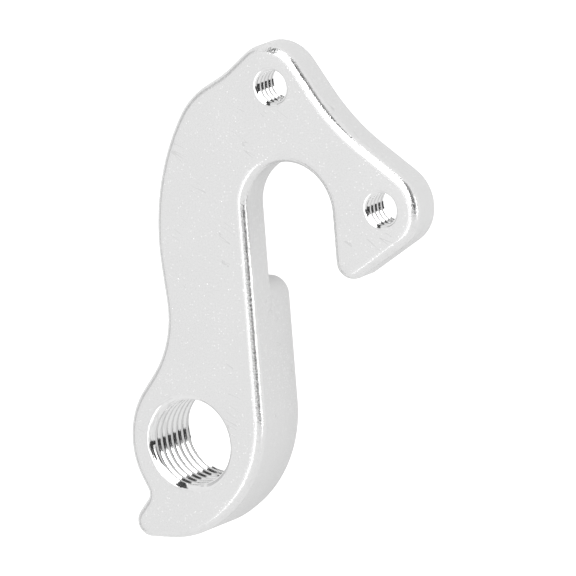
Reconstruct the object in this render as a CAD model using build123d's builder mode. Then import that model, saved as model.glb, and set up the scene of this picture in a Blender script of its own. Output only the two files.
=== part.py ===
from build123d import *
from math import radians, tan
import os

# A bicycle derailleur hanger, milled from one aluminium plate. It lies on the back of
# its thick lower end, with the outboard face up. The origin is where the axis of the
# derailleur bolt crosses the plane that seats on the frame, +Z points outboard and +Y
# runs up along the axle slot.

# Thickness of the lower end, which holds the derailleur, and of the upper end, which
# sits in the frame
lower_thickness = 8.0
upper_thickness = 3.8

# Derailleur bolt hole, with the tap drill size of its fine thread, its countersunk mouth
# and the chamfer at its back
bolt_drill = 9.0
bolt_mouth = 10.4
bolt_back_chamfer = 0.7

# Wheel axle, measured from the derailleur bolt, and the slot that it drops into
axle_x = 14.1
axle_y = 24.8
slot_width = 10.2

# Two tapped holes for the screws to the frame, measured from the axle
screw_drill = 3.3
screw_mouth = 4.2
screw_back_chamfer = 0.45
upper_screw_back = 0.8
upper_screw_up = 13.0
hook_screw_out = 11.3
hook_screw_up = 0.6

# Full angle of the countersinks, in degrees
countersink_angle = 120

# Edges: rounded on the outboard face and round the lower end's back, only broken on
# the back of the upper end
face_edge_radius = 1.0
pad_edge_radius = 1.0
back_edge_radius = 0.2

# Shoulder across the back, where the thick lower end stops against the frame
shoulder_y = 16.6
shoulder_corner_radius = 2.0

# The outline is a chain of straight runs whose corners are rounded. Each corner is
# given before rounding, in the order that the edge runs from the far wall of the slot.

# Tip of the hook, below the axle on the line of the slot's far wall
tip_drop = 8.4
tip_radius = 1.8

# Nose of the hook, out past the hook screw
nose_out = 7.7
nose_drop = 0.2
nose_radius = 4.35

# Saddle, the hollow edge between the two screws, from their midpoint
saddle_out = 1.4
saddle_up = 2.4
saddle_radius = 22.0

# Crown, over the upper screw
crown_out = 0.5
crown_up = 6.4
crown_radius = 4.4

# Hollow run from the upper screw to the back, then a tight bend measured from the hollow
hollow_back = 6.0
hollow_up = 1.1
hollow_radius = 14.0
bend_back = 4.5
bend_drop = 2.5
bend_radius = 9.0

# Bow, the long curve of the back, measured from the axle. It fills the run between its
# neighbours but for a short straight after the bend.
bow_back = 16.9
bow_up = 2.0
bow_straight = 0.4

# Waist above the derailleur bolt, and the boss round it
waist_back = 1.4
waist_up = 10.5
waist_radius = 11.3
boss_back = 9.0
boss_up = 0.9
boss_radius = 8.8

# Notch, and the tail that the derailleur's adjusting screw stops against
notch_back = 5.6
notch_drop = 5.7
notch_radius = 1.0
tail_back = 9.3
tail_drop = 10.2
tail_radius = 1.65

# Foot under the derailleur bolt
foot_back = 0.2
foot_drop = 10.3
foot_radius = 10.5

# Heel, the long curve up to the slot's near wall. It fills the run after the foot but
# for a short straight.
heel_drop = 3.9
heel_straight = 0.7

# Places worked out from the sizes above
recess_depth = lower_thickness - upper_thickness
slot_radius = slot_width / 2
near_wall_x = axle_x - slot_radius
far_wall_x = axle_x + slot_radius
upper_screw = (axle_x - upper_screw_back, axle_y + upper_screw_up)
hook_screw = (axle_x + hook_screw_out, axle_y + hook_screw_up)
hollow = (upper_screw[0] - hollow_back, upper_screw[1] + hollow_up)
between_screws = ((upper_screw[0] + hook_screw[0]) / 2, (upper_screw[1] + hook_screw[1]) / 2)

corners = {
    "tip": Vector(far_wall_x, axle_y - tip_drop),
    "nose": Vector(hook_screw[0] + nose_out, hook_screw[1] - nose_drop),
    "saddle": Vector(between_screws[0] + saddle_out, between_screws[1] + saddle_up),
    "crown": Vector(upper_screw[0] + crown_out, upper_screw[1] + crown_up),
    "hollow": Vector(*hollow),
    "bend": Vector(hollow[0] - bend_back, hollow[1] - bend_drop),
    "bow": Vector(axle_x - bow_back, axle_y + bow_up),
    "waist": Vector(-waist_back, waist_up),
    "boss": Vector(-boss_back, boss_up),
    "notch": Vector(-notch_back, -notch_drop),
    "tail": Vector(-tail_back, -tail_drop),
    "foot": Vector(-foot_back, -foot_drop),
    "heel": Vector(near_wall_x, -heel_drop),
}
radii = {
    "tip": tip_radius,
    "nose": nose_radius,
    "saddle": saddle_radius,
    "crown": crown_radius,
    "hollow": hollow_radius,
    "bend": bend_radius,
    "waist": waist_radius,
    "boss": boss_radius,
    "notch": notch_radius,
    "tail": tail_radius,
    "foot": foot_radius,
}
slot_start = Vector(far_wall_x, axle_y)
slot_end = Vector(near_wall_x, axle_y)
path = [slot_start, *corners.values(), slot_end]
order = ["slot start", *corners]


# Half of the angle that the edge turns through at a corner
def half_turn(name):
    place = order.index(name)
    arriving = path[place] - path[place - 1]
    leaving = path[place + 1] - path[place]
    return radians(arriving.get_angle(leaving) / 2)


# Radius of a long curve, which begins a short straight after the rounding before it
def long_radius(name, straight):
    place = order.index(name)
    before = order[place - 1]
    run = (path[place] - path[place - 1]).length
    rounding = radii[before] * tan(half_turn(before))
    return (run - rounding - straight) / tan(half_turn(name))


radii["bow"] = long_radius("bow", bow_straight)
radii["heel"] = long_radius("heel", heel_straight)

# Outline seen from the outboard side
with BuildSketch() as outline:
    with BuildLine():
        FilletPolyline(*path, radius=[radii[name] for name in corners])
        CenterArc((axle_x, axle_y), slot_radius, start_angle=0, arc_size=180)
    make_face()

plan_size = outline.sketch.bounding_box().size

# Pad: the extra thickness behind the lower end. It has the plate's own outline, and
# reaches a little into the plate, past the broken edge of the plate's back.
with BuildPart() as pad:
    with BuildSketch(Plane.XY.offset(-recess_depth)):
        add(outline.sketch)
        with Locations((near_wall_x, shoulder_y)):
            Rectangle(plan_size.X, plan_size.Y, align=Align.MAX, mode=Mode.INTERSECT)
    extrude(amount=recess_depth + back_edge_radius)
    shoulder = pad.faces().sort_by(Axis.Y)[-1]
    fillet(shoulder.edges().filter_by(Axis.Z), shoulder_corner_radius)
    fillet(pad.faces().sort_by(Axis.Z)[0].edges(), pad_edge_radius)

with BuildPart() as hanger:
    # Plate
    with BuildSketch():
        add(outline.sketch)
    extrude(amount=upper_thickness)
    fillet(hanger.faces().sort_by(Axis.Z)[0].edges(), back_edge_radius)
    fillet(hanger.faces().sort_by(Axis.Z)[-1].edges(), face_edge_radius)
    add(pad.part)

    # Derailleur bolt hole
    with Locations((0, 0, upper_thickness)):
        CounterSinkHole(bolt_drill / 2, bolt_mouth / 2, counter_sink_angle=countersink_angle)
    rims = hanger.edges(Select.LAST).filter_by(GeomType.CIRCLE)
    chamfer(rims.group_by(Axis.Z)[0], bolt_back_chamfer)

    # Holes for the two screws to the frame
    with Locations((*upper_screw, upper_thickness), (*hook_screw, upper_thickness)):
        CounterSinkHole(screw_drill / 2, screw_mouth / 2, counter_sink_angle=countersink_angle)
    rims = hanger.edges(Select.LAST).filter_by(GeomType.CIRCLE)
    chamfer(rims.group_by(Axis.Z)[0], screw_back_chamfer)

hanger.part.label = "hanger"
os.makedirs("parts", exist_ok=True)
export_step(hanger.part, "parts/hanger.step")
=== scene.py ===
import bpy
import bmesh
import math
from mathutils import Matrix, Vector


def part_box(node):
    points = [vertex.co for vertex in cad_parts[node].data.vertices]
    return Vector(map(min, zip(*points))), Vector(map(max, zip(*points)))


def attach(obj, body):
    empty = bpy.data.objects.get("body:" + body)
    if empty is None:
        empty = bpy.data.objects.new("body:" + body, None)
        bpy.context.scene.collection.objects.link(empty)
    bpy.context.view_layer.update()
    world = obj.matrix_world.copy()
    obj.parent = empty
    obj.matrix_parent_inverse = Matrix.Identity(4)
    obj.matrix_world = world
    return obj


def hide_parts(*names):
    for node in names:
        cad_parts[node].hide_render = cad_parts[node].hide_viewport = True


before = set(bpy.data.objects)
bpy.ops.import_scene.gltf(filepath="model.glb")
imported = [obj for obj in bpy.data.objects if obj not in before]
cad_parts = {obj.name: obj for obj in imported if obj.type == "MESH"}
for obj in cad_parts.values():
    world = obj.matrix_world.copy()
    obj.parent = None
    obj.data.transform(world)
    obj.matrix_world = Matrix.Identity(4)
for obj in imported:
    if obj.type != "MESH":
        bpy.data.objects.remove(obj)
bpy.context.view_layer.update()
print("frame loaded")

mm = 0.001
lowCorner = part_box("hanger")[0]

# Camera, at the photograph's viewing angle with a long lens
view = {
    "aim": (13.168 * mm, 16.740 * mm, 3.225 * mm),
    "toCamera": (0.52613, 0.18942, 0.82904),
    "screenUp": (0.0906, 0.9959, 0.0),
    "distance": 1.6,
    "frameWidth": 59.077 * mm,  # what the picture takes in at the aim point
    "sensorWidth": 36.0,
    "farthest": 20.0,
}


def aimedMatrix(place, toViewer, upHint):
    back = Vector(toViewer).normalized()
    right = Vector(upHint).cross(back).normalized()
    up = back.cross(right)
    turned = Matrix((right, up, back)).transposed().to_4x4()
    return Matrix.Translation(place) @ turned


def addObject(name, data):
    piece = bpy.data.objects.new(name, data)
    bpy.context.scene.collection.objects.link(piece)
    return piece


def makeCamera():
    data = bpy.data.cameras.new("photoCamera")
    data.sensor_width = view["sensorWidth"]
    data.lens = view["sensorWidth"] * view["distance"] / view["frameWidth"]
    data.clip_end = view["farthest"]
    camera = addObject("photoCamera", data)
    place = Vector(view["aim"]) + Vector(view["toCamera"]).normalized() * view["distance"]
    camera.matrix_world = aimedMatrix(place, view["toCamera"], view["screenUp"])
    bpy.context.scene.camera = camera


makeCamera()
print("camera set")

# Threads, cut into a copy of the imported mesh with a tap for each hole. Lengths are in mm.
# Where a thread runs in at the mouth, its first sliver is broken off on one side and cut
# back on the other: each run-in is a round cutter, shifted off the hole's axis, whose
# rings are given as (radius, height). A tap is turned, in radians, to where its thread
# starts, and its steps are the corners in one turn.
boltRunIns = [
    {"shift": -0.20, "rings": [(4.24, 3.14), (4.76, 3.66), (4.76, 4.8)]},
    {"shift": 0.35, "rings": [(4.60, 3.15), (4.60, 4.8)]},
]
smallRunIns = [
    {"shift": -0.08, "rings": [(1.50, 3.10), (1.72, 3.66), (1.72, 4.8)]},
    {"shift": 0.16, "rings": [(1.80, 3.30), (1.80, 4.8)]},
]
threads = {
    "boltTap": {
        "at": (0.0, 0.0), "major": 4.94, "minor": 4.44, "mouth": 5.2, "pitch": 1.0,
        "turned": 5.03, "low": -4.2, "steps": 144, "runIns": boltRunIns,
    },
    "upperTap": {
        "at": (13.3, 37.8), "major": 1.96, "minor": 1.61, "mouth": 2.1, "pitch": 0.7,
        "turned": 4.09, "low": 0.0, "steps": 96, "runIns": smallRunIns,
    },
    "hookTap": {
        "at": (25.4, 25.4), "major": 1.96, "minor": 1.61, "mouth": 2.1, "pitch": 0.7,
        "turned": 4.09, "low": 0.0, "steps": 96, "runIns": smallRunIns,
    },
}
faceHeight = 3.8
flankAngle = math.radians(30)
rootHalf = 0.05  # half width of the groove's bottom, as a share of the pitch
sparePitches = 2  # how far a tap reaches past either end of its hole
plainCorners = 4  # a face with more corners than these may fold over itself
runInSide = math.radians(22)  # the way in which the run-ins are shifted
weldReach = 0.0005 * mm
rimSlack = 0.005  # how near a point lies to a rim to count as on it


def tapProfile(spec):
    # one pitch of the tap's side, as (share of the pitch, radius)
    flank = (spec["major"] - spec["minor"]) * math.tan(flankAngle) / spec["pitch"]
    return [
        (-rootHalf - flank, spec["minor"]),
        (-rootHalf, spec["major"]),
        (rootHalf, spec["major"]),
        (rootHalf + flank, spec["minor"]),
    ]


def ringPoint(centre, radius, angle, height):
    x = centre[0] + radius * math.cos(angle)
    y = centre[1] + radius * math.sin(angle)
    return (x * mm, y * mm, height * mm)


def addCutter(name, shape):
    bmesh.ops.recalc_face_normals(shape, faces=shape.faces)
    mesh = bpy.data.meshes.new(name)
    shape.to_mesh(mesh)
    shape.free()
    return addObject(name, mesh)


def makeTap(name, spec):
    profile = tapProfile(spec)
    perTurn = len(profile)
    steps, pitch = spec["steps"], spec["pitch"]
    turns = math.ceil((faceHeight - spec["low"]) / pitch) + 2 * sparePitches
    start = spec["low"] - sparePitches * pitch
    tap = bmesh.new()
    rows = []
    for turn in range(turns):
        for share, radius in profile:
            row = []
            for step in range(steps):
                angle = 2 * math.pi * step / steps
                height = start + pitch * (turn + share + step / steps)
                place = ringPoint(spec["at"], radius, angle + spec["turned"], height)
                row.append(tap.verts.new(place))
            rows.append(row)
    for index in range(len(rows) - 1 - perTurn):
        below, above = rows[index], rows[index + 1]
        for step in range(steps - 1):
            tap.faces.new((below[step], below[step + 1], above[step + 1], above[step]))
        # the last step of a row meets the first step of the row one turn up
        nextBelow, nextAbove = rows[index + perTurn], rows[index + 1 + perTurn]
        tap.faces.new((below[-1], nextBelow[0], nextAbove[0], above[-1]))
    used = {vert for face in tap.faces for vert in face.verts}
    for vert in [vert for vert in tap.verts if vert not in used]:
        tap.verts.remove(vert)
    openEdges = [edge for edge in tap.edges if edge.is_boundary]
    bmesh.ops.holes_fill(tap, edges=openEdges, sides=0)
    return addCutter(name, tap)


def makeRunIn(name, spec, runIn):
    centre = (spec["at"][0] + runIn["shift"] * math.cos(runInSide),
              spec["at"][1] + runIn["shift"] * math.sin(runInSide))
    steps = spec["steps"]
    tool = bmesh.new()
    rows = []
    for radius, height in runIn["rings"]:
        places = [ringPoint(centre, radius, 2 * math.pi * step / steps, height)
                  for step in range(steps)]
        rows.append([tool.verts.new(place) for place in places])
    for below, above in zip(rows, rows[1:]):
        for step in range(steps):
            after = (step + 1) % steps
            tool.faces.new((below[step], below[after], above[after], above[step]))
    tool.faces.new(rows[0][::-1])
    tool.faces.new(rows[-1])
    return addCutter(name, tool)


def insideHole(centre):
    for spec in threads.values():
        x, y = spec["at"]
        if math.hypot(centre.x / mm - x, centre.y / mm - y) < spec["mouth"] - rimSlack:
            return True
    return False


def splitFolds(mesh):
    # faces of many corners in the holes are split into triangles
    shaped = bmesh.new()
    shaped.from_mesh(mesh)
    many = [face for face in shaped.faces
            if len(face.verts) > plainCorners and insideHole(face.calc_center_median())]
    bmesh.ops.triangulate(shaped, faces=many)
    shaped.to_mesh(mesh)
    shaped.free()


def makeBody():
    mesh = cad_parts["hanger"].data.copy()
    mesh.name = "hangerBody"
    welded = bmesh.new()
    welded.from_mesh(mesh)
    bmesh.ops.remove_doubles(welded, verts=welded.verts, dist=weldReach)
    bmesh.ops.recalc_face_normals(welded, faces=welded.faces)
    welded.to_mesh(mesh)
    welded.free()
    body = addObject("hangerBody", mesh)
    cutters = [makeTap(name, spec) for name, spec in threads.items()]
    for name, spec in threads.items():
        for index, runIn in enumerate(spec["runIns"]):
            cutters.append(makeRunIn(name + str(index), spec, runIn))
    for cutter in cutters:
        cut = body.modifiers.new(cutter.name, "BOOLEAN")
        cut.operation = "DIFFERENCE"
        cut.solver = "EXACT"
        cut.object = cutter
    bpy.context.view_layer.update()
    graph = bpy.context.evaluated_depsgraph_get()
    threaded = bpy.data.meshes.new_from_object(body.evaluated_get(graph))
    body.modifiers.clear()
    splitFolds(threaded)
    body.data = threaded
    for cutter in cutters:
        bpy.data.objects.remove(cutter)
    return body


body = makeBody()
print("threads cut:", len(body.data.vertices), "vertices,", len(body.data.polygons), "faces")

# Shading normals: flat on the faces, round on the fillets, sharp in the threads
sharpAngle = math.radians(28)
faceWeight = 50
rubbedSteepest = 0.06  # upward part of a rounding's normals, from the side of the piece
rubbedFlattest = 0.996  # to its face


def sharpenEdges(mesh):
    mesh.shade_smooth()
    shaped = bmesh.new()
    shaped.from_mesh(mesh)
    shaped.normal_update()
    for edge in shaped.edges:
        edge.smooth = len(edge.link_faces) == 2 and edge.calc_face_angle(0.0) < sharpAngle
    shaped.to_mesh(mesh)
    shaped.free()


def markRubbed(mesh):
    # rounded edges are rubbed smoother than the faces: 1 inside a rounding, 0 where it ends
    shaped = bmesh.new()
    shaped.from_mesh(mesh)
    mark = shaped.verts.layers.float.new("rubbed")
    for vert in shaped.verts:
        leans = [abs(face.normal.z) for face in vert.link_faces]
        rounded = rubbedSteepest < min(leans) and max(leans) < rubbedFlattest
        vert[mark] = 1.0 if rounded else 0.0
    shaped.to_mesh(mesh)
    shaped.free()


def onRim(place):
    if abs(place.z / mm - faceHeight) > rimSlack:
        return False
    for spec in threads.values():
        x, y = spec["at"]
        if abs(math.hypot(place.x / mm - x, place.y / mm - y) - spec["mouth"]) < rimSlack:
            return True
    return False


def roundRims(piece):
    # the blasting takes the edge off the holes' rims: they are shaded as if rounded over
    weighted = piece.modifiers.new("faceWeighted", "WEIGHTED_NORMAL")
    weighted.keep_sharp = True
    weighted.weight = faceWeight
    bpy.context.view_layer.update()
    graph = bpy.context.evaluated_depsgraph_get()
    mesh = bpy.data.meshes.new_from_object(
        piece.evaluated_get(graph), preserve_all_data_layers=True, depsgraph=graph)
    normals = [Vector(corner.vector) for corner in mesh.corner_normals]
    for loop in mesh.loops:
        if onRim(mesh.vertices[loop.vertex_index].co):
            normals[loop.index] = Vector((0, 0, 1))
    mesh.normals_split_custom_set(normals)
    piece.modifiers.clear()
    piece.data = mesh


sharpenEdges(body.data)
markRubbed(body.data)
roundRims(body)
print("shading normals set")


# Materials: a blasted finish all over, and a machined one in the holes
noiseMiddle = 0.5


def linkNodes(tree, pairs):
    for source, target in pairs:
        tree.links.new(source, target)


def newNode(tree, kind, place, inputs=None, **settings):
    node = tree.nodes.new(kind)
    node.location = place
    for name, value in settings.items():
        setattr(node, name, value)
    for socket, value in (inputs or {}).items():
        node.inputs[socket].default_value = value
    return node


def grey(level):
    return (level, level, level, 1.0)


def makeGroup(name, inputs, outputs):
    # inputs are (label, kind, value), outputs (label, kind)
    group = bpy.data.node_groups.new(name, "ShaderNodeTree")
    for label, kind, value in inputs:
        socket = group.interface.new_socket(label, in_out="INPUT", socket_type="NodeSocket" + kind)
        socket.default_value = value
    for label, kind in outputs:
        group.interface.new_socket(label, in_out="OUTPUT", socket_type="NodeSocket" + kind)
    return group


def millimetres(tree, place):
    # the piece's own coordinates, in mm
    x, y = place
    coords = newNode(tree, "ShaderNodeTexCoord", (x, y))
    scaled = newNode(tree, "ShaderNodeVectorMath", (x + 200, y),
                     {"Scale": 1 / mm}, operation="SCALE")
    tree.links.new(coords.outputs["Object"], scaled.inputs[0])
    return scaled


# Grain of a blasted surface, with a few bright specks, and slow clouds
grainShape = {
    "detail": 2.0, "roughness": 0.7,
    "speckEdge": 0.42, "speckCore": 0.12, "speckHeight": 1.5,
    "patchScale": 0.22, "patchDetail": 3.0,
}


def makeGrainGroup():
    group = makeGroup("blastGrain", [
        ("Colour", "Color", grey(0.8)),
        ("Speck Colour", "Color", grey(0.95)),
        ("Contrast", "Float", 0.08),
        ("Grain Size", "Float", 7.0),
        ("Speck Size", "Float", 2.6),
        ("Speck Share", "Float", 0.1),
    ], [("Colour", "Color"), ("Height", "Float"), ("Cloud", "Float")])
    inputs = newNode(group, "NodeGroupInput", (-900, 0))
    outputs = newNode(group, "NodeGroupOutput", (900, 0))
    coords = millimetres(group, (-900, 300))
    fine = newNode(group, "ShaderNodeTexNoise", (-450, 300),
                   {"Detail": grainShape["detail"], "Roughness": grainShape["roughness"]})
    cells = newNode(group, "ShaderNodeTexVoronoi", (-450, 0), {"Randomness": 1.0})
    patches = newNode(group, "ShaderNodeTexNoise", (-450, -300),
                      {"Scale": grainShape["patchScale"], "Detail": grainShape["patchDetail"]})
    pick = newNode(group, "ShaderNodeSeparateColor", (-250, -60))
    crowd = newNode(group, "ShaderNodeMath", (-250, -250), operation="MULTIPLY")
    chosen = newNode(group, "ShaderNodeMath", (-60, -60), operation="LESS_THAN")
    near = newNode(group, "ShaderNodeMapRange", (-60, 120),
                   {"From Min": grainShape["speckEdge"], "From Max": grainShape["speckCore"]})
    speck = newNode(group, "ShaderNodeMath", (150, 0), operation="MULTIPLY")
    swing = newNode(group, "ShaderNodeMath", (-60, 320), {1: noiseMiddle}, operation="SUBTRACT")
    amount = newNode(group, "ShaderNodeMath", (150, 320), {2: 1.0}, operation="MULTIPLY_ADD")
    shade = newNode(group, "ShaderNodeVectorMath", (350, 320), operation="SCALE")
    tinted = newNode(group, "ShaderNodeMix", (550, 200), data_type="RGBA")
    height = newNode(group, "ShaderNodeMath", (550, -60),
                     {1: grainShape["speckHeight"]}, operation="MULTIPLY_ADD")
    linkNodes(group, [
        (coords.outputs["Vector"], fine.inputs["Vector"]),
        (coords.outputs["Vector"], cells.inputs["Vector"]),
        (coords.outputs["Vector"], patches.inputs["Vector"]),
        (inputs.outputs["Grain Size"], fine.inputs["Scale"]),
        (inputs.outputs["Speck Size"], cells.inputs["Scale"]),
        (cells.outputs["Color"], pick.inputs["Color"]),
        (pick.outputs["Red"], chosen.inputs[0]),
        (patches.outputs["Fac"], crowd.inputs[0]),
        (inputs.outputs["Speck Share"], crowd.inputs[1]),
        (crowd.outputs["Value"], chosen.inputs[1]),
        (cells.outputs["Distance"], near.inputs["Value"]),
        (near.outputs["Result"], speck.inputs[0]),
        (chosen.outputs["Value"], speck.inputs[1]),
        (fine.outputs["Fac"], swing.inputs[0]),
        (swing.outputs["Value"], amount.inputs[0]),
        (inputs.outputs["Contrast"], amount.inputs[1]),
        (inputs.outputs["Colour"], shade.inputs[0]),
        (amount.outputs["Value"], shade.inputs["Scale"]),
        (speck.outputs["Value"], tinted.inputs["Factor"]),
        (shade.outputs["Vector"], tinted.inputs["A"]),
        (inputs.outputs["Speck Colour"], tinted.inputs["B"]),
        (tinted.outputs["Result"], outputs.inputs["Colour"]),
        (speck.outputs["Value"], height.inputs[0]),
        (fine.outputs["Fac"], height.inputs[2]),
        (height.outputs["Value"], outputs.inputs["Height"]),
        (patches.outputs["Fac"], outputs.inputs["Cloud"]),
    ])
    return group


# Rounded edges rubbed smoother and brighter than the faces, with breaks in the rub and dents
rubShape = {
    "breakDetail": 3.0, "breakRoughness": 0.6, "breakFrom": 0.30, "breakTo": 0.55,
    "dentScale": 3.5, "dentDetail": 2.0, "dentRoughness": 0.6,
    "cloudShare": 0.06,  # how much the slow clouds add to the roughness
}


def makeRubGroup():
    group = makeGroup("edgeRub", [
        ("Colour", "Color", grey(0.8)),
        ("Rubbed Colour", "Color", grey(0.85)),
        ("Roughness", "Float", 0.28),
        ("Rubbed Roughness", "Float", 0.18),
        ("Break Size", "Float", 1.5),
        ("Cloud", "Float", 0.5),
    ], [("Colour", "Color"), ("Roughness", "Float"), ("Height", "Float")])
    inputs = newNode(group, "NodeGroupInput", (-900, 0))
    outputs = newNode(group, "NodeGroupOutput", (700, 0))
    mark = newNode(group, "ShaderNodeAttribute", (-700, 250),
                   attribute_type="GEOMETRY", attribute_name="rubbed")
    coords = millimetres(group, (-900, -250))
    breaks = newNode(group, "ShaderNodeTexNoise", (-500, -200),
                     {"Detail": rubShape["breakDetail"], "Roughness": rubShape["breakRoughness"]})
    patchy = newNode(group, "ShaderNodeMapRange", (-300, -150),
                     {"From Min": rubShape["breakFrom"], "From Max": rubShape["breakTo"]})
    mask = newNode(group, "ShaderNodeMath", (-100, 100), operation="MULTIPLY")
    worn = newNode(group, "ShaderNodeMix", (150, 0), data_type="FLOAT")
    brightened = newNode(group, "ShaderNodeMix", (150, 250), data_type="RGBA")
    dents = newNode(group, "ShaderNodeTexNoise", (-500, -450),
                    {"Scale": rubShape["dentScale"], "Detail": rubShape["dentDetail"],
                     "Roughness": rubShape["dentRoughness"]})
    dented = newNode(group, "ShaderNodeMath", (150, -350), operation="MULTIPLY")
    cloudy = newNode(group, "ShaderNodeMath", (350, -100),
                     {1: rubShape["cloudShare"]}, operation="MULTIPLY_ADD")
    linkNodes(group, [
        (coords.outputs["Vector"], breaks.inputs["Vector"]),
        (inputs.outputs["Break Size"], breaks.inputs["Scale"]),
        (breaks.outputs["Fac"], patchy.inputs["Value"]),
        (mark.outputs["Fac"], mask.inputs[0]),
        (patchy.outputs["Result"], mask.inputs[1]),
        (mask.outputs["Value"], worn.inputs["Factor"]),
        (inputs.outputs["Roughness"], worn.inputs["A"]),
        (inputs.outputs["Rubbed Roughness"], worn.inputs["B"]),
        (inputs.outputs["Cloud"], cloudy.inputs[0]),
        (worn.outputs["Result"], cloudy.inputs[2]),
        (cloudy.outputs["Value"], outputs.inputs["Roughness"]),
        (coords.outputs["Vector"], dents.inputs["Vector"]),
        (dents.outputs["Fac"], dented.inputs[0]),
        (mark.outputs["Fac"], dented.inputs[1]),
        (dented.outputs["Value"], outputs.inputs["Height"]),
        (mask.outputs["Value"], brightened.inputs["Factor"]),
        (inputs.outputs["Colour"], brightened.inputs["A"]),
        (inputs.outputs["Rubbed Colour"], brightened.inputs["B"]),
        (brightened.outputs["Result"], outputs.inputs["Colour"]),
    ])
    return group


# Long thin lines: hair scratches on a face, or tool marks that run round a hole
lineShape = {"waveScale": 1.0, "waveDetail": 1.0, "patchScale": 0.25, "patchDetail": 1.0}


def makeLineGroup():
    group = makeGroup("fineLines", [
        ("Turn", "Float", 0.4),
        ("Stretch", "Vector", (0.3, 5.0, 5.0)),
        ("Width", "Float", 0.01),
        ("Share", "Float", 0.4),
        ("Colour", "Color", grey(0.8)),
        ("Line Colour", "Color", grey(0.7)),
    ], [("Colour", "Color"), ("Height", "Float")])
    inputs = newNode(group, "NodeGroupInput", (-900, 0))
    outputs = newNode(group, "NodeGroupOutput", (900, 0))
    coords = millimetres(group, (-1100, 300))
    turned = newNode(group, "ShaderNodeVectorRotate", (-700, 300), rotation_type="Z_AXIS")
    stretched = newNode(group, "ShaderNodeVectorMath", (-500, 300), operation="MULTIPLY")
    waves = newNode(group, "ShaderNodeTexNoise", (-300, 300),
                    {"Scale": lineShape["waveScale"], "Detail": lineShape["waveDetail"]})
    patches = newNode(group, "ShaderNodeTexNoise", (-300, -100),
                      {"Scale": lineShape["patchScale"], "Detail": lineShape["patchDetail"]})
    middle = newNode(group, "ShaderNodeMath", (-100, 300), {1: noiseMiddle}, operation="SUBTRACT")
    off = newNode(group, "ShaderNodeMath", (80, 300), operation="ABSOLUTE")
    line = newNode(group, "ShaderNodeMapRange", (260, 300), {"To Min": 1.0, "To Max": 0.0})
    scarce = newNode(group, "ShaderNodeMath", (80, -100), operation="LESS_THAN")
    both = newNode(group, "ShaderNodeMath", (480, 100), operation="MULTIPLY")
    drawn = newNode(group, "ShaderNodeMix", (680, 250), data_type="RGBA")
    linkNodes(group, [
        (coords.outputs["Vector"], turned.inputs["Vector"]),
        (inputs.outputs["Turn"], turned.inputs["Angle"]),
        (turned.outputs["Vector"], stretched.inputs[0]),
        (inputs.outputs["Stretch"], stretched.inputs[1]),
        (stretched.outputs["Vector"], waves.inputs["Vector"]),
        (coords.outputs["Vector"], patches.inputs["Vector"]),
        (waves.outputs["Fac"], middle.inputs[0]),
        (middle.outputs["Value"], off.inputs[0]),
        (off.outputs["Value"], line.inputs["Value"]),
        (inputs.outputs["Width"], line.inputs["From Max"]),
        (patches.outputs["Fac"], scarce.inputs[0]),
        (inputs.outputs["Share"], scarce.inputs[1]),
        (line.outputs["Result"], both.inputs[0]),
        (scarce.outputs["Value"], both.inputs[1]),
        (both.outputs["Value"], outputs.inputs["Height"]),
        (both.outputs["Value"], drawn.inputs["Factor"]),
        (inputs.outputs["Colour"], drawn.inputs["A"]),
        (inputs.outputs["Line Colour"], drawn.inputs["B"]),
        (drawn.outputs["Result"], outputs.inputs["Colour"]),
    ])
    return group


grainGroup = makeGrainGroup()
rubGroup = makeRubGroup()
lineGroup = makeLineGroup()

blasted = {
    "grain": {
        "Colour": grey(0.80), "Speck Colour": grey(0.91), "Contrast": 0.13,
        "Grain Size": 5.0, "Speck Size": 4.0, "Speck Share": 0.30,
    },
    "rub": {
        "Rubbed Colour": grey(0.84), "Roughness": 0.22, "Rubbed Roughness": 0.15,
        "Break Size": 1.4,
    },
    "lines": {
        "Turn": 0.5, "Stretch": (0.12, 1.1, 1.1), "Width": 0.02, "Share": 0.36,
        "Line Colour": grey(0.70),
    },
    "grainDepth": 0.005 * mm,
    "lineDepth": -0.001 * mm,
    "dentDepth": 0.03 * mm,
}
machined = {
    "grain": {
        "Colour": grey(0.84), "Speck Colour": grey(0.93), "Contrast": 0.10,
        "Grain Size": 5.0, "Speck Size": 4.0, "Speck Share": 0.05,
    },
    "rub": {
        "Rubbed Colour": grey(0.88), "Roughness": 0.06, "Rubbed Roughness": 0.05,
        "Break Size": 1.4,
    },
    "lines": {
        "Turn": 0.0, "Stretch": (0.5, 0.5, 6.0), "Width": 0.12, "Share": 0.52,
        "Line Colour": grey(0.74),
    },
    "grainDepth": 0.001 * mm,
    "lineDepth": 0.0008 * mm,
    "dentDepth": 0.0,
}


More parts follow.
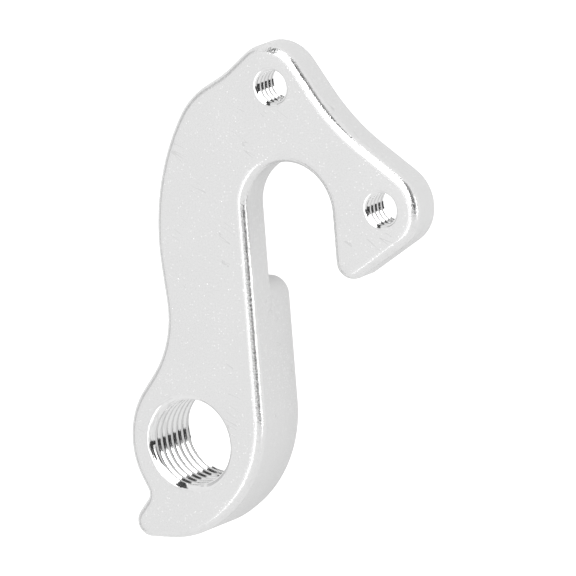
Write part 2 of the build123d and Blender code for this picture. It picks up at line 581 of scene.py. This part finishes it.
def makeMetal(name, spec):
    material = bpy.data.materials.new(name)
    material.use_nodes = True
    tree = material.node_tree
    shader = tree.nodes["Principled BSDF"]
    shader.inputs["Metallic"].default_value = 1.0
    grain = newNode(tree, "ShaderNodeGroup", (-1000, 200), node_tree=grainGroup)
    rub = newNode(tree, "ShaderNodeGroup", (-600, 100), node_tree=rubGroup)
    lines = newNode(tree, "ShaderNodeGroup", (-1000, -300), node_tree=lineGroup)
    for node, part in ((grain, "grain"), (rub, "rub"), (lines, "lines")):
        for socket, value in spec[part].items():
            node.inputs[socket].default_value = value
    dented = newNode(tree, "ShaderNodeBump", (-800, -500),
                     {"Strength": 1.0, "Distance": spec["dentDepth"]})
    scratched = newNode(tree, "ShaderNodeBump", (-600, -300),
                        {"Strength": 1.0, "Distance": spec["lineDepth"]})
    grained = newNode(tree, "ShaderNodeBump", (-300, -200),
                      {"Strength": 1.0, "Distance": spec["grainDepth"]})
    linkNodes(tree, [
        (grain.outputs["Colour"], lines.inputs["Colour"]),
        (lines.outputs["Colour"], rub.inputs["Colour"]),
        (grain.outputs["Cloud"], rub.inputs["Cloud"]),
        (rub.outputs["Colour"], shader.inputs["Base Color"]),
        (rub.outputs["Roughness"], shader.inputs["Roughness"]),
        (rub.outputs["Height"], dented.inputs["Height"]),
        (dented.outputs["Normal"], scratched.inputs["Normal"]),
        (lines.outputs["Height"], scratched.inputs["Height"]),
        (scratched.outputs["Normal"], grained.inputs["Normal"]),
        (grain.outputs["Height"], grained.inputs["Height"]),
        (grained.outputs["Normal"], shader.inputs["Normal"]),
    ])
    return material


def markHoles(mesh):
    for face in mesh.polygons:
        face.material_index = 1 if insideHole(face.center) else 0


body.data.materials.clear()
body.data.materials.append(makeMetal("blastedAluminium", blasted))
body.data.materials.append(makeMetal("machinedAluminium", machined))
markHoles(body.data)
print("materials made")

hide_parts("hanger")
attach(body, "root")

# Floor, just clear of the piece's underside so that the two don't flicker seen from below
ground = {
    "size": 6.0,
    "gap": 0.01 * mm,
    "tone": 0.26,
    "glow": 0.475,
    "lift": 0.55,  # added glow that only the camera sees
}


def addCard(name, halfWidth, halfHeight, z=0.0):
    mesh = bpy.data.meshes.new(name)
    corners = [(-halfWidth, -halfHeight, z), (halfWidth, -halfHeight, z),
               (halfWidth, halfHeight, z), (-halfWidth, halfHeight, z)]
    mesh.from_pydata(corners, [], [(0, 1, 2, 3)])
    return addObject(name, mesh)


def makeFloor():
    floor = addCard("floor", ground["size"] / 2, ground["size"] / 2, lowCorner.z - ground["gap"])
    material = bpy.data.materials.new("paleFloor")
    material.use_nodes = True
    tree = material.node_tree
    tree.nodes.clear()
    paper = newNode(tree, "ShaderNodeBsdfDiffuse", (-600, 100), {"Color": grey(ground["tone"])})
    glow = newNode(tree, "ShaderNodeEmission", (-600, -50), {"Strength": ground["glow"]})
    lift = newNode(tree, "ShaderNodeEmission", (-600, -200), {"Strength": ground["lift"]})
    lit = newNode(tree, "ShaderNodeAddShader", (-400, 0))
    lifted = newNode(tree, "ShaderNodeAddShader", (-200, -100))
    seen = newNode(tree, "ShaderNodeLightPath", (-200, 300))
    choose = newNode(tree, "ShaderNodeMixShader", (0, 0))
    output = newNode(tree, "ShaderNodeOutputMaterial", (200, 0))
    linkNodes(tree, [
        (paper.outputs["BSDF"], lit.inputs[0]),
        (glow.outputs["Emission"], lit.inputs[1]),
        (lit.outputs["Shader"], lifted.inputs[0]),
        (lift.outputs["Emission"], lifted.inputs[1]),
        (seen.outputs["Is Camera Ray"], choose.inputs["Fac"]),
        (lit.outputs["Shader"], choose.inputs[1]),
        (lifted.outputs["Shader"], choose.inputs[2]),
        (choose.outputs["Shader"], output.inputs["Surface"]),
    ])
    floor.data.materials.append(material)


makeFloor()
print("floor laid")

# Lights and grey flags. Each is placed by the angles, in degrees right and up, at which it
# stands off the camera's line, and by how far it is away from the aim point.
lamps = {
    "overheadBox": {
        "right": -20, "up": 28, "away": 0.60, "width": 0.64, "height": 1.02, "power": 5.5},
    "rightBox": {
        "right": 66, "up": 12, "away": 0.80, "width": 0.44, "height": 1.15, "power": 2.9},
    "lowFill": {
        "right": -33, "up": -36, "away": 0.70, "width": 0.26, "height": 0.46, "power": 0.385},
}
flags = {
    "rightFlag": {
        "right": 15.5, "up": 20, "away": 0.45, "width": 0.155, "height": 0.72, "tone": 0.10},
    "lowRightFlag": {
        "right": 27, "up": -7, "away": 0.46, "width": 0.21, "height": 0.27, "tone": 0.10},
    "greyFlag": {
        "right": 36, "up": 30, "away": 0.47, "width": 0.17, "height": 0.38, "tone": 0.40},
    "threadFlag": {
        "right": -4.7, "up": -8, "away": 0.58, "width": 0.105, "height": 0.28, "tone": 0.03},
    "leftFlag": {
        "right": -38.5, "up": 51, "away": 0.50, "width": 0.14, "height": 0.62, "tone": 0.05},
    "farLeftFlag": {
        "right": -100, "up": 25, "away": 0.60, "width": 0.30, "height": 0.50, "tone": 0.50},
    "sideFlag": {
        "right": -101, "up": -32, "away": 0.55, "width": 0.20, "height": 0.50, "tone": 0.52},
}
surround = {"colour": grey(1.0), "strength": 0.912}


def standOff(spec):
    back = Vector(view["toCamera"]).normalized()
    right = Vector(view["screenUp"]).cross(back).normalized()
    up = back.cross(right)
    angle = math.radians(math.hypot(spec["right"], spec["up"]))
    around = math.atan2(spec["up"], spec["right"])
    aside = right * math.cos(around) + up * math.sin(around)
    way = back * math.cos(angle) + aside * math.sin(angle)
    return aimedMatrix(Vector(view["aim"]) + way * spec["away"], way, up)


def makeLamp(name, spec):
    data = bpy.data.lights.new(name, "AREA")
    data.shape = "RECTANGLE"
    data.size, data.size_y = spec["width"], spec["height"]
    data.energy = spec["power"]
    lamp = addObject(name, data)
    lamp.matrix_world = standOff(spec)


def makeFlag(name, spec):
    flag = addCard(name, spec["width"] / 2, spec["height"] / 2)
    flag.matrix_world = standOff(spec)
    material = bpy.data.materials.new(name)
    material.use_nodes = True
    shader = material.node_tree.nodes["Principled BSDF"]
    shader.inputs["Base Color"].default_value = grey(spec["tone"])
    shader.inputs["Specular IOR Level"].default_value = 0.0
    flag.data.materials.append(material)
    # a flag only shows in the metal's reflections
    flag.visible_camera = False
    flag.visible_diffuse = False
    flag.visible_shadow = False


for name, spec in lamps.items():
    makeLamp(name, spec)
for name, spec in flags.items():
    makeFlag(name, spec)

world = bpy.data.worlds.new("studio")
world.use_nodes = True
backdrop = world.node_tree.nodes["Background"]
backdrop.inputs["Color"].default_value = surround["colour"]
backdrop.inputs["Strength"].default_value = surround["strength"]
bpy.context.scene.world = world
bpy.context.scene.view_settings.view_transform = "Standard"
print("lights set")
